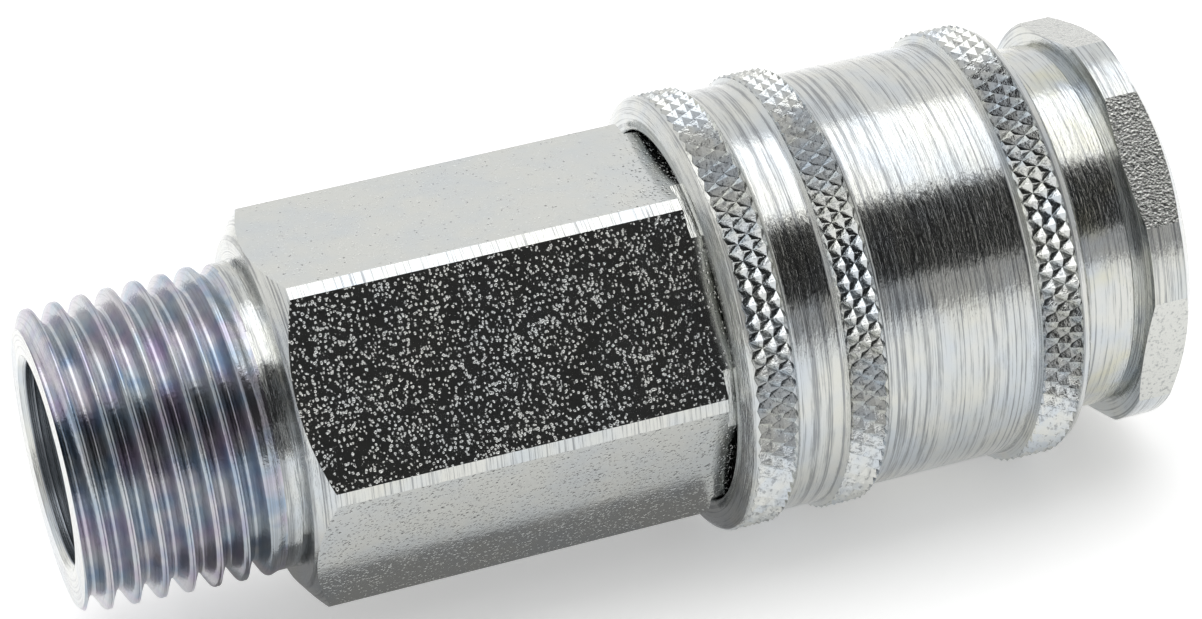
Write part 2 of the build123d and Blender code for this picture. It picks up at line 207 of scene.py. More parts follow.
def rounded(corners, closed=True):
    """Points of an outline of (x, radius, rounding) corners, each rounding a short arc."""
    most_of_side = 0.49
    degrees_a_step = 18
    points = []
    count = len(corners)
    for i, (x, radius, rounding) in enumerate(corners):
        corner = Vector((x, radius))
        if not rounding or (not closed and i in (0, count - 1)):
            points.append((x, radius))
            continue
        before = Vector(corners[i - 1][:2]) - corner
        after = Vector(corners[(i + 1) % count][:2]) - corner
        half = before.angle(after) / 2
        shorter = min(most_of_side * before.length, most_of_side * after.length)
        reach_back = min(rounding / math.tan(half), shorter)
        size = reach_back * math.tan(half)
        centre = corner + (before.normalized() + after.normalized()).normalized() * size / math.sin(half)
        first = corner + before.normalized() * reach_back - centre
        last = corner + after.normalized() * reach_back - centre
        sweep = first.angle_signed(last)
        steps = max(2, round(abs(math.degrees(sweep)) / degrees_a_step))
        for k in range(steps + 1):
            turned = first.copy()
            turned.rotate(Matrix.Rotation(-sweep * k / steps, 2))
            points.append(tuple(centre + turned))
    return points


def face_outwards(piece):
    """Turns every face of the closed mesh outwards and leaves edit mode."""
    bpy.ops.mesh.select_all(action="SELECT")
    bpy.ops.mesh.normals_make_consistent(inside=False)
    bpy.ops.object.mode_set(mode="OBJECT")
    return piece


def spin_outline(name, corners, closed=True):
    """Solid of revolution about X from an outline; an open outline starts and ends on the axis."""
    piece = start_piece(name)
    points = rounded(corners, closed)
    if closed:
        points.append(points[0])
    draw_outline(points)
    bpy.ops.mesh.select_all(action="SELECT")
    bpy.ops.mesh.spin(steps=AROUND, angle=FULL_TURN, center=(0, 0, 0), axis=(1, 0, 0))
    bpy.ops.mesh.select_all(action="SELECT")
    bpy.ops.mesh.remove_doubles(threshold=SAME_PLACE)
    return face_outwards(piece)


def hexagon_prism(name, start, end, half_width, turn=0.0):
    """Six-sided prism along X with two flats facing up and down before it is turned."""
    bpy.ops.object.select_all(action="DESELECT")
    bpy.ops.mesh.primitive_cylinder_add(
        vertices=6,
        radius=half_width / math.cos(math.pi / 6),
        depth=end - start,
        location=((start + end) / 2, 0, 0),
        rotation=(0, math.pi / 2, 0),
    )
    piece = bpy.context.object
    piece.name = name
    bpy.ops.object.transform_apply()
    highest = max(piece.data.vertices, key=lambda v: v.co.z).co.z
    pointed = abs(highest - half_width) > NEAR
    piece.data.transform(Matrix.Rotation(turn + (math.pi / 6 if pointed else 0), 4, "X"))
    return piece


def out_from_axis(point):
    return math.hypot(point.y, point.z)


def on_flat(centre, normal, half_width, turn=0.0):
    """Whether a face is one of a hexagon's six long flats."""
    turned = math.degrees(math.atan2(normal.z, normal.y) - turn) % 60
    square = abs(normal.x) < 0.01 and abs(turned - 30) < 1
    return square and out_from_axis(centre) > half_width - 0.1


def combine(piece, other, operation):
    """Boolean of two closed meshes; the other one is used up."""
    modifier = piece.modifiers.new(operation.title(), "BOOLEAN")
    modifier.operation = operation
    modifier.solver = "EXACT"
    modifier.object = other
    apply_modifier(piece, modifier)
    bpy.data.objects.remove(other)


def apply_modifier(piece, modifier):
    select_only(piece)
    bpy.ops.object.modifier_apply(modifier=modifier.name)


def round_edges(piece, width, angle):
    """Bevel on the edges that are sharper than an angle."""
    modifier = piece.modifiers.new("Edges", "BEVEL")
    modifier.width = width
    modifier.segments = 2
    modifier.limit_method = "ANGLE"
    modifier.angle_limit = angle
    modifier.harden_normals = False
    apply_modifier(piece, modifier)


def finish_piece(piece, materials, choose, smooth_angle=math.radians(24)):
    """Brings a piece to metres, smooths its gentle edges and gives each face its material."""
    all_by_size = 100
    piece.data.transform(Matrix.Scale(MM, 4))
    select_only(piece)
    bpy.ops.object.shade_smooth_by_angle(angle=smooth_angle, keep_sharp_edges=False)
    weighted = piece.modifiers.new("Normals", "WEIGHTED_NORMAL")
    weighted.mode = "FACE_AREA"
    weighted.weight = all_by_size
    weighted.keep_sharp = True
    apply_modifier(piece, weighted)
    piece.data.materials.clear()
    for material in materials:
        piece.data.materials.append(material)
    for face in piece.data.polygons:
        face.material_index = choose(face.center / MM, face.normal)


# ---------------------------------------------------------------- material helpers
def add_node(tree, kind, *values, named=None, output=0, **settings):
    """Adds a node with its settings, links or sets its live inputs in order or by name, and gives back
    one of its live outputs."""
    node = tree.nodes.new("ShaderNode" + kind)
    for name, setting in settings.items():
        setattr(node, name, setting)
    live = [socket for socket in node.inputs if socket.enabled]
    by_name = [(node.inputs[name], value) for name, value in (named or {}).items()]
    for socket, value in [*zip(live, values), *by_name]:
        if isinstance(value, bpy.types.NodeSocket):
            tree.links.new(value, socket)
        else:
            socket.default_value = value
    results = [socket for socket in node.outputs if socket.enabled]
    return results[output] if results else None


def new_material(name):
    """Empty material, its node tree, its piece's Object coordinates in mm, and the scene's colours."""
    material = bpy.data.materials.new(name)
    material.use_nodes = True
    tree = material.node_tree
    tree.nodes.clear()
    metres = add_node(tree, "TexCoord", output=3)
    place = add_node(tree, "VectorMath", metres, named={"Scale": 1 / MM}, operation="SCALE")
    return material, tree, place, bpy.context.scene.coupler_colours


def along_and_out(tree, place):
    """Distance along the coupler's axis, and out from it, as the first two parts of a vector, so that a
    pattern on it runs all the way round."""
    across = add_node(tree, "VectorMath", place, (0, 1, 1), operation="MULTIPLY")
    out = add_node(tree, "VectorMath", across, operation="LENGTH")
    along = add_node(tree, "SeparateXYZ", place)
    return add_node(tree, "CombineXYZ", along, out)


def shared(maker):
    """Material made once and then found by its name."""
    name = maker.__name__
    return bpy.data.materials.get(name) or maker(name)


# ---------------------------------------------------------------- materials
# Octaves and roughness of a noise, from soft clouds to ragged grit
SOFT, FINE, CRISP, GRITTY, RAGGED = (2.0, 0.6), (3.0, 0.6), (3.0, 0.65), (3.0, 0.7), (4.0, 0.75)


def turned_zinc_plated_steel(name, straw=0.12, feed=0.2, depth=0.03):
    """Steel off the lathe with bright zinc and clear passivate.

    The tool leaves rings a tenth of a millimetre apart, drawn about twice as coarse so that they show.
    They run all the way round and streak the reflections along the axis, and their bottoms are darkened
    with painted shade. Chatter breaks them into short bristles at the edge of each reflection, and the
    passivate tints the metal a little blue, or straw where it pooled.
    """
    material, tree, place, colours = new_material(name)
    streak, bristle = (2 / 9, 10 / 3), (2 / 11, 10 / 11)  # width along the axis, length round it
    cloud_width, pool_width, chatter_depth = 5.882, 3.448, 0.035
    rings = add_node(tree, "TexNoise", along_and_out(tree, place), 1 / feed, *RAGGED)
    stretch = (1 / streak[0], 1 / streak[1], 1 / streak[1])
    stretched = add_node(tree, "Mapping", place, named={"Scale": stretch})
    streaks = add_node(tree, "TexNoise", stretched, 1.0, *CRISP)
    shrink = (1 / bristle[0], 1 / bristle[1], 1 / bristle[1])
    short = add_node(tree, "Mapping", place, named={"Scale": shrink})
    chatter = add_node(tree, "TexNoise", short, 1.0, *FINE)
    ring_share = add_node(tree, "Math", rings, 0.7, operation="MULTIPLY")
    lines = add_node(tree, "Math", streaks, 0.3, ring_share, operation="MULTIPLY_ADD")
    # Painted shade: the metal is darkened in the ruts of the rings and streaks
    ruts = add_node(tree, "MapRange", lines, 0.42, 0.5, 0.7, 0.0)
    cloud = add_node(tree, "TexNoise", place, 1 / cloud_width, *FINE)
    thin = add_node(tree, "MapRange", cloud, 0.42, 0.64)
    pool = add_node(tree, "TexNoise", place, 1 / pool_width, *SOFT)
    pooled = add_node(tree, "MapRange", pool, 0.45, 0.7, 0.0, straw)
    metal = add_node(tree, "Mix", thin, colours.zinc, colours.zinc_blue, data_type="RGBA")
    metal = add_node(tree, "Mix", pooled, metal, colours.zinc_straw, data_type="RGBA")
    metal = add_node(tree, "Mix", ruts, metal, colours.zinc_shade, data_type="RGBA")
    relief = add_node(tree, "Bump", named={"Height": lines, "Distance": depth * MM})
    bristles = {"Height": chatter, "Distance": chatter_depth * MM, "Normal": relief}
    relief = add_node(tree, "Bump", named=bristles)
    dull = add_node(tree, "MapRange", streaks, 0.3, 0.7, 0.09, 0.18)
    round_axis = add_node(tree, "Tangent", direction_type="RADIAL", axis="X")
    look = {"Base Color": metal, "Metallic": 1.0, "Roughness": dull, "Normal": relief}
    look |= {"Anisotropic": 0.3, "Tangent": round_axis}
    add_node(tree, "OutputMaterial", add_node(tree, "BsdfPrincipled", named=look))
    return material


def fine_turned_zinc_plated_steel(name):
    """Steel turned with a finer finishing cut, then zinc: shallower rings and more pooled straw."""
    return turned_zinc_plated_steel(name, straw=0.6, feed=0.24, depth=0.02)


def drawn_zinc_plated_steel(name):
    """Cold-drawn hexagon bar under zinc and clear passivate.

    The die leaves the flats smooth, with rolled-in pits a tenth of a millimetre or two across. A pit's
    steep side catches the light on a dark flat, and its bottom, darkened with painted shade, is a dark
    speck on a light one.
    """
    material, tree, place, colours = new_material(name)
    pit_sizes = ((0.38, 0.32, 0.42), (0.28, 0.36, 0.5), (0.2, 0.40, 0.42))  # spacing, width, how many
    cloud_width, crowd_width, grain_width = 4.545, 2.0, 0.4545
    grain_depth, pit_depth = 0.012, 0.05
    cloud = add_node(tree, "TexNoise", place, 1 / cloud_width, *FINE)
    thin = add_node(tree, "MapRange", cloud, 0.4, 0.65, 0.0, 0.5)
    metal = add_node(tree, "Mix", thin, colours.zinc, colours.zinc_blue, data_type="RGBA")
    crowd = add_node(tree, "TexNoise", place, 1 / crowd_width, *SOFT)
    heights = []
    for spacing, width, share in pit_sizes:
        wobble = add_node(tree, "TexNoise", place, 2.2 / spacing, *SOFT, output=1)
        moved = add_node(tree, "VectorMath", wobble, named={"Scale": 0.55 * spacing}, operation="SCALE")
        bent = add_node(tree, "VectorMath", place, moved, operation="ADD")
        near = add_node(tree, "TexVoronoi", bent, 1 / spacing)
        pick = near.node.outputs["Color"]
        chance = add_node(tree, "Math", crowd, 0.6, pick, operation="MULTIPLY_ADD")
        shown = add_node(tree, "MapRange", chance, 1.3 - share, 1.35 - share)
        bowl = (0.25 * width, width, 1.0, 0.0)
        pit = add_node(tree, "MapRange", near, *bowl, interpolation_type="SMOOTHSTEP")
        deep = add_node(tree, "Math", pit, shown, operation="MULTIPLY")
        heights.append(add_node(tree, "Math", deep, spacing / pit_sizes[0][0], operation="MULTIPLY"))
    pits = add_node(tree, "Math", heights[0], heights[1], operation="MAXIMUM")
    pits = add_node(tree, "Math", pits, heights[2], operation="MAXIMUM")
    # Painted shade: the metal is darkened in the bottoms of the pits
    bottoms = add_node(tree, "MapRange", pits, 0.75, 1.0, 0.0, 0.8)
    metal = add_node(tree, "Mix", bottoms, metal, colours.pit_shade, data_type="RGBA")
    grain = add_node(tree, "TexNoise", place, 1 / grain_width, *FINE)
    relief = add_node(tree, "Bump", named={"Height": grain, "Distance": grain_depth * MM})
    relief = add_node(tree, "Bump", named={"Height": pits, "Distance": -pit_depth * MM, "Normal": relief})
    dull = add_node(tree, "MapRange", crowd, 0.3, 0.7, 0.10, 0.17)
    look = {"Base Color": metal, "Metallic": 1.0, "Roughness": dull, "Normal": relief}
    add_node(tree, "OutputMaterial", add_node(tree, "BsdfPrincipled", named=look))
    return material


def cut_zinc_plated_thread(name):
    """Steel thread cut with a die and then zinc-plated: smooth flanks with fine rings, pink and blue
    interference colour in the valleys, and small nicks on the crests."""
    material, tree, place, colours = new_material(name)
    cloud_width, wash_width, ring_spacing, nick_width = 3.333, 2.222, 1 / 7, 0.3125
    ring_depth, nick_depth = 0.009, 0.02
    cloud = add_node(tree, "TexNoise", place, 1 / cloud_width, *SOFT)
    thin = add_node(tree, "MapRange", cloud, 0.4, 0.6)
    tint = add_node(tree, "Mix", thin, colours.zinc_pink, colours.thread_blue, data_type="RGBA")
    wash = add_node(tree, "TexNoise", place, 1 / wash_width, *SOFT)
    washed = add_node(tree, "MapRange", wash, 0.4, 0.62, 0.45, 1.0)
    metal = add_node(tree, "Mix", washed, colours.zinc, tint, data_type="RGBA")
    rings = add_node(tree, "TexNoise", along_and_out(tree, place), 1 / ring_spacing, *CRISP)
    # Painted shade: the metal is darkened in the ruts between the rings
    ruts = add_node(tree, "MapRange", rings, 0.36, 0.5, 0.45, 0.0)
    metal = add_node(tree, "Mix", ruts, metal, colours.zinc_shade, data_type="RGBA")
    nicks = add_node(tree, "TexNoise", place, 1 / nick_width, *CRISP)
    relief = add_node(tree, "Bump", named={"Height": rings, "Distance": ring_depth * MM})
    relief = add_node(tree, "Bump", named={"Height": nicks, "Distance": nick_depth * MM, "Normal": relief})
    round_axis = add_node(tree, "Tangent", direction_type="RADIAL", axis="X")
    look = {"Base Color": metal, "Metallic": 1.0, "Roughness": 0.19, "Normal": relief}
    look |= {"Anisotropic": 0.25, "Tangent": round_axis}
    add_node(tree, "OutputMaterial", add_node(tree, "BsdfPrincipled", named=look))
    return material


def rolled_zinc_plated_knurl(name):
    """Knurl pressed into steel by rolls, then zinc-plated: smooth bright facets that flash one by one,
    with fine wrinkles where the metal was squeezed."""
    material, tree, place, colours = new_material(name)
    cloud_width, wrinkle_width, wrinkle_depth = 2.857, 0.3846, 0.045
    cloud = add_node(tree, "TexNoise", place, 1 / cloud_width, *SOFT)
    thin = add_node(tree, "MapRange", cloud, 0.42, 0.64)
    metal = add_node(tree, "Mix", thin, colours.zinc, colours.zinc_blue, data_type="RGBA")
    wrinkles = add_node(tree, "TexNoise", place, 1 / wrinkle_width, *CRISP)
    # Painted shade: the metal is darkened in the creases between the wrinkles
    creases = add_node(tree, "MapRange", wrinkles, 0.36, 0.46, 0.55, 0.0)
    metal = add_node(tree, "Mix", creases, metal, colours.zinc_shade, data_type="RGBA")
    relief = add_node(tree, "Bump", named={"Height": wrinkles, "Distance": wrinkle_depth * MM})
    look = {"Base Color": metal, "Metallic": 1.0, "Roughness": 0.12, "Normal": relief}
    add_node(tree, "OutputMaterial", add_node(tree, "BsdfPrincipled", named=look))
    return material


def etched_zinc_plated_steel(name):
    """Hexagon bar that scale was pickled off before it was zinc-plated: an even crystalline grain of
    about a fifth of a millimetre, which glitters on a dark flat and is hardly seen on a light one."""
    material, tree, place, colours = new_material(name)
    crystal_width, hollow_width, etch_depth = 0.2, 0.2778, 0.055
    crystals = add_node(tree, "TexVoronoi", place, 1 / crystal_width)
    facets = add_node(tree, "TexNoise", place, 1 / hollow_width, *GRITTY)
    rough = add_node(tree, "Math", crystals, 0.5, facets, operation="MULTIPLY_ADD")
    # Painted shade: the metal is darkened in the hollows of the grain
    hollows = add_node(tree, "MapRange", facets, 0.36, 0.46, 0.5, 0.0)
    metal = add_node(tree, "Mix", hollows, colours.zinc, colours.zinc_shade, data_type="RGBA")
    relief = add_node(tree, "Bump", named={"Height": rough, "Distance": etch_depth * MM})
    look = {"Base Color": metal, "Metallic": 1.0, "Roughness": 0.2, "Normal": relief}
    add_node(tree, "OutputMaterial", add_node(tree, "BsdfPrincipled", named=look))
    return material


def drilled_zinc_plated_steel(name):
    """Drilled bore, where little zinc is laid down: dull dark grey with the drill's coarse rings."""
    material, tree, place, colours = new_material(name)
    ring_spacing, ring_depth = 0.2857, 0.04
    rings = add_node(tree, "TexNoise", along_and_out(tree, place), 1 / ring_spacing, *GRITTY)
    # Painted shade: the metal is darkened in the ruts between the drill's rings
    ruts = add_node(tree, "MapRange", rings, 0.38, 0.5, 0.5, 0.0)
    metal = add_node(tree, "Mix", ruts, colours.zinc_bore, colours.pit_shade, data_type="RGBA")
    relief = add_node(tree, "Bump", named={"Height": rings, "Distance": ring_depth * MM})
    look = {"Base Color": metal, "Metallic": 1.0, "Roughness": 0.26, "Normal": relief}
    add_node(tree, "OutputMaterial", add_node(tree, "BsdfPrincipled", named=look))
    return material


def drawn_spring_steel(name):
    """Spring steel drawn to wire or rolled to strip, and oiled: smooth grey with faint draw marks."""
    material, tree, place, colours = new_material(name)
    mark_width, mark_depth = 0.25, 0.004
    marks = add_node(tree, "TexNoise", place, 1 / mark_width, *FINE)
    relief = add_node(tree, "Bump", named={"Height": marks, "Distance": mark_depth * MM})
    dull = add_node(tree, "MapRange", marks, 0.3, 0.7, 0.25, 0.4)
    look = {"Base Color": colours.wire, "Metallic": 1.0, "Roughness": dull, "Normal": relief}
    add_node(tree, "OutputMaterial", add_node(tree, "BsdfPrincipled", named=look))
    return material


def lapped_bearing_steel(name):
    """Bearing steel lapped to a mirror, with a trace of handling haze."""
    material, tree, place, colours = new_material(name)
    haze_width = 0.8
    haze = add_node(tree, "TexNoise", place, 1 / haze_width, *SOFT)
    dull = add_node(tree, "MapRange", haze, 0.3, 0.7, 0.05, 0.12)
    look = {"Base Color": colours.bearing, "Metallic": 1.0, "Roughness": dull}
    add_node(tree, "OutputMaterial", add_node(tree, "BsdfPrincipled", named=look))
    return material


def turned_free_cutting_brass(name):
    """Free-cutting brass as it leaves the lathe: warm yellow, fine rings, and a light brown tarnish in
    soft patches."""
    material, tree, place, colours = new_material(name)
    ring_spacing, tarnish_width, ring_depth = 0.125, 2.5, 0.005
    rings = add_node(tree, "TexNoise", along_and_out(tree, place), 1 / ring_spacing, *SOFT)
    cloud = add_node(tree, "TexNoise", place, 1 / tarnish_width, *FINE)
    tarnish = add_node(tree, "MapRange", cloud, 0.35, 0.7, 0.0, 0.35)
    metal = add_node(tree, "Mix", tarnish, colours.brass, colours.brass_tarnish, data_type="RGBA")
    relief = add_node(tree, "Bump", named={"Height": rings, "Distance": ring_depth * MM})
    look = {"Base Color": metal, "Metallic": 1.0, "Roughness": 0.28, "Normal": relief}
    add_node(tree, "OutputMaterial", add_node(tree, "BsdfPrincipled", named=look))
    return material


def moulded_nitrile_rubber(name):
    """Moulded nitrile rubber: almost black and matt, with a faint grain and a film of grease."""
    material, tree, place, colours = new_material(name)
    grain_width, grain_depth = 0.1493, 0.006
    grain = add_node(tree, "TexNoise", place, 1 / grain_width, *SOFT)
    relief = add_node(tree, "Bump", named={"Height": grain, "Distance": grain_depth * MM})
    dull = add_node(tree, "MapRange", grain, 0.3, 0.7, 0.45, 0.62)
    look = {"Base Color": colours.rubber, "Metallic": 0.0, "Roughness": dull, "Normal": relief}
    add_node(tree, "OutputMaterial", add_node(tree, "BsdfPrincipled", named=look))
    return material


# ---------------------------------------------------------------- threaded body
def thread_solid(sizes, end):
    """Rounded 55 degree thread as a closed solid from the end face to a plane inside the hexagon."""
    pitch = sizes.thread_pitch / MM
    length = sizes.thread_length / MM
    depth = 0.640327 * pitch
    nose_round = 0.137329 * pitch
    flank = math.radians(27.5)
    gauge_radius = 20.955 / 2
    gauge_length = 8.2
    taper = 1 / 32
    runout_radius = 10.45
    steps = 144
    arc_steps = 4
    flank_steps = 5
    fade_before, fade_turns, ease_length = 0.55, 0.4, 0.5

    def quarter(sign):
        """Crest (or root) arc from its middle to where the flank starts, as (along, down) offsets."""
        return [
            (nose_round * math.sin(a), sign * nose_round * (1 - math.cos(a)))
            for a in (k / arc_steps * (math.pi / 2 - flank) for k in range(arc_steps + 1))
        ]

    crest = [(along, down) for along, down in quarter(1)]
    root = [(pitch / 2 - along, depth + down) for along, down in reversed(quarter(-1))]
    (a0, d0), (a1, d1) = crest[-1], root[0]
    middle = [
        (a0 + (a1 - a0) * k / flank_steps, d0 + (d1 - d0) * k / flank_steps) for k in range(1, flank_steps)
    ]
    half = crest + middle + root
    groove = half + [(pitch - along, down) for along, down in reversed(half[:-1])]
    first_turn = 3
    start = sizes.thread_turn / MM - first_turn * pitch
    turns = math.ceil((end - start) / pitch) + 1

    piece = start_piece("thread")
    draw_outline([(start + along, gauge_radius - down) for along, down in groove])
    bpy.ops.object.mode_set(mode="OBJECT")
    modifier = piece.modifiers.new("Thread", "SCREW")
    modifier.axis = "X"
    modifier.screw_offset = pitch
    modifier.iterations = turns
    modifier.steps = steps
    modifier.render_steps = steps
    modifier.use_merge_vertices = False
    apply_modifier(piece, modifier)

    per_column = len(groove)
    fade_end = (length - start) / pitch - fade_before
    for i, vertex in enumerate(piece.data.vertices):
        turn = (i // per_column) / steps
        down = groove[i % per_column][1]
        kept = min(1, max(0, (fade_end - turn) / fade_turns))
        x = vertex.co.x
        surface = gauge_radius + (x - gauge_length) * taper
        ease = min(1, max(0, (x - length + ease_length) / ease_length))
        surface += (runout_radius - surface) * ease
        radius = surface - down * kept
        direction = Vector((0, vertex.co.y, vertex.co.z)).normalized()
        vertex.co = Vector((x, 0, 0)) + direction * radius

    bpy.ops.object.mode_set(mode="EDIT")
    bpy.ops.mesh.select_all(action="SELECT")
    bpy.ops.mesh.remove_doubles(threshold=SAME_PLACE)
    for x, side in ((0, -1), (end, 1)):
        bpy.ops.mesh.select_all(action="SELECT")
        bpy.ops.mesh.bisect(plane_co=(x, 0, 0), plane_no=(side, 0, 0), use_fill=True, clear_outer=True)
    return face_outwards(piece)


class COUPLER_OT_threaded_body(bpy.types.Operator):
    """Model the threaded hexagon body"""

    bl_idname = "coupler.threaded_body"
    bl_label = "Threaded body"

    def execute(self, context):
        sizes = context.scene.coupler_sizes
        hex_start, corner_radius, chamfer, chamfer_ratio = 14.8, 13.6, 1.3, 1.4
        band_end, undercut_radius, overlap = 14.4, 9.9, 1.0
        sleeve_gap, fine_round, tail_round = 0.6, 0.1, 0.3
        face_radius, lead_radius, lead_length, crest_radius = 8.3, 9.75, 0.9, 10.65
        flare_end, clear_radius = 2.0, 13
        bore_mouth, bore_radius, bore_chamfer, bore_round, chamber_radius = 8.33, 6.93, 0.4, 0.15, 8.4
        bore_side, past_chamfer, faces_end = 8.5, 0.3, 0.95
        shoulder = SLEEVE_START - sleeve_gap
        body = thread_solid(sizes, band_end)
        lead_in = spin_outline(
            "lead_in",
            [
                (-BEYOND, 0, 0),
                (-BEYOND, face_radius, 0),
                (0, lead_radius, fine_round),
                (lead_length, crest_radius, 0),
                (flare_end, clear_radius, 0),
                (band_end + BEYOND, clear_radius, 0),
                (band_end + BEYOND, 0, 0),
            ],
            closed=False,
        )
        combine(body, lead_in, "INTERSECT")
        bar = spin_outline(
            "bar",
            [
                (hex_start, 0, 0),
                (hex_start, corner_radius - chamfer_ratio * chamfer, 0),
                (hex_start + chamfer, corner_radius, 0),
                (shoulder, corner_radius, fine_round),
                (shoulder, NECK_RADIUS, fine_round),
                (BODY_END, NECK_RADIUS, tail_round),
                (BODY_END, 0, 0),
            ],
            closed=False,
        )
        flats = hexagon_prism("flats", hex_start - BEYOND, BODY_END + BEYOND, HEX_HALF_WIDTH)
        combine(bar, flats, "INTERSECT")
        round_edges(bar, sizes.hex_bevel / MM, math.radians(20))
        undercut = spin_outline(
            "undercut",
            [
                (band_end - overlap, 0, 0),
                (band_end - overlap, undercut_radius, 0),
                (hex_start + overlap, undercut_radius, 0),
                (hex_start + overlap, 0, 0),
            ],
            closed=False,
        )
        combine(body, undercut, "UNION")
        combine(body, bar, "UNION")
        chamber_start = span("valve_guide")[0]
        bore = spin_outline(
            "bore",
            [
                (-BEYOND, 0, 0),
                (-BEYOND, bore_mouth, 0),
                (bore_chamfer, bore_radius, bore_round),
                (chamber_start, bore_radius, fine_round),
                (chamber_start, chamber_radius, 0),
                (BODY_END + BEYOND, chamber_radius, 0),
                (BODY_END + BEYOND, 0, 0),
            ],
            closed=False,
        )
        combine(body, bore, "DIFFERENCE")
        body.name = "threaded_body"

        def choose(centre, normal):
            radius = out_from_axis(centre)
            if radius < bore_side and centre.x > past_chamfer:
                return 3
            if centre.x < band_end - overlap and radius > bore_side and abs(normal.x) < faces_end:
                return 2
            return int(centre.x > hex_start and on_flat(centre, normal, HEX_HALF_WIDTH))

        finish_piece(
            body,
            [
                shared(turned_zinc_plated_steel),
                shared(drawn_zinc_plated_steel),
                shared(cut_zinc_plated_thread),
                shared(drilled_zinc_plated_steel),
            ],
            choose,
        )
        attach(body, "coupler_body")
        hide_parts("rear_body")
        return {"FINISHED"}


# ---------------------------------------------------------------- locking sleeve
def knurl(piece, start, end, radius, depth, rows):
    """Presses a diamond knurl into a band of the spun grid, whose columns are half a diamond apart."""
    spacing = (end - start) / rows
    margin = 0.6
    for vertex in piece.data.vertices:
        row = (vertex.co.x - start) / spacing
        distance = out_from_axis(vertex.co)
        if max(abs(distance - radius), abs(row - round(row))) > NEAR or not 0 <= round(row) <= rows:
            continue
        column = round(math.atan2(vertex.co.z, vertex.co.y) / FULL_TURN * AROUND)
        if (column + round(row)) % 2 == 0:
            share = (distance - depth) / distance
            vertex.co.y *= share
            vertex.co.z *= share
    select_only(piece)
    bpy.ops.object.mode_set(mode="EDIT")
    bpy.ops.mesh.select_all(action="DESELECT")
    bpy.ops.object.mode_set(mode="OBJECT")
    for face in piece.data.polygons:
        outside = out_from_axis(face.center) > radius - depth
        face.select = outside and start - margin < face.center.x < end + margin
    bpy.ops.object.mode_set(mode="EDIT")
    bpy.ops.mesh.select_mode(type="FACE")
    bpy.ops.mesh.quads_convert_to_tris(quad_method="SHORTEST_DIAGONAL")
    bpy.ops.object.mode_set(mode="OBJECT")


class COUPLER_OT_locking_sleeve(bpy.types.Operator):
    """Model the locking sleeve with its three knurled rings"""

    bl_idname = "coupler.locking_sleeve"
    bl_label = "Locking sleeve"

    def execute(self, context):
        sizes = context.scene.coupler_sizes
        start, end, ring = SLEEVE_START, SLEEVE_END, RING_RADIUS
        back_band = ring - 0.55
        front_band = ring - 0.75
        back_ring, middle_ring, front_ring = (0.9, 3.4), (7.5, 9.8), (-3.6, -1.0)
        bands = [
            (start + back_ring[0], start + back_ring[1]),
            (start + middle_ring[0], start + middle_ring[1]),
            (end + front_ring[0], end + front_ring[1]),
        ]
        ease, fall, fall_round = 0.2, 0.45, 0.3
        mouth_drop, mouth_length, mouth_round, rim_drop, rim_round = 1.25, 0.55, 0.45, 0.15, 0.5
        front_ease, front_slope, front_round = 0.12, 0.35, 0.4
        front_drop, front_edge, front_corner = 0.95, 0.35, 0.15
        cone_land, cone_back, fine_round, rib_round = 0.5, 0.7, 0.1, 0.2
        rows = sizes.knurl_rows

        def band_rows(first, last):
            return [(first + (last - first) * k / rows, ring, 0) for k in range(rows + 1)]

        guide_radius = 12.87
        rib_end = end - 6.8
        rib_start = rib_end - 6.7
        cone_small, cone_large = 8.204, 10.008
        outline = [
            (start, guide_radius, mouth_round),
            (start, ring - mouth_drop, mouth_round),
            (start + mouth_length, ring - rim_drop, rim_round),
            *band_rows(*bands[0]),
            (bands[0][1] + ease, ring - ease, 0),
            (bands[0][1] + fall, back_band, fall_round),
            (bands[1][0] - fall, back_band, fall_round),
            (bands[1][0] - ease, ring - ease, 0),
            *band_rows(*bands[1]),
            (bands[1][1] + ease, ring - ease, 0),
            (bands[1][1] + fall, front_band, fall_round),
            (bands[2][0] - fall, front_band, fall_round),
            (bands[2][0] - ease, ring - ease, 0),
            *band_rows(*bands[2]),
            (bands[2][1] + front_ease, ring - rim_drop, 0),
            (end - front_slope, ring - front_slope, front_round),
            (end, ring - front_drop, front_edge),
            (end, guide_radius, front_corner),
            (rib_end, guide_radius, fine_round),
            (rib_end, cone_large, fine_round / 2),
            (rib_end - cone_land, cone_large, 0),
            (rib_start + cone_back, cone_small, 0),
            (rib_start, cone_small, fine_round),
            (rib_start, guide_radius, rib_round),
        ]
        sleeve = spin_outline("locking_sleeve", outline)
        for first, last in bands:
            knurl(sleeve, first, last, ring, sizes.knurl_depth / MM, rows)

        def choose(centre, normal):
            knurled = any(first < centre.x < last for first, last in bands)
            return int(knurled and out_from_axis(centre) > back_band)

        materials = [shared(turned_zinc_plated_steel), shared(rolled_zinc_plated_knurl)]
        finish_piece(sleeve, materials, choose, smooth_angle=math.radians(20))
        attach(sleeve, "sleeve")
        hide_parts("sleeve")
        return {"FINISHED"}


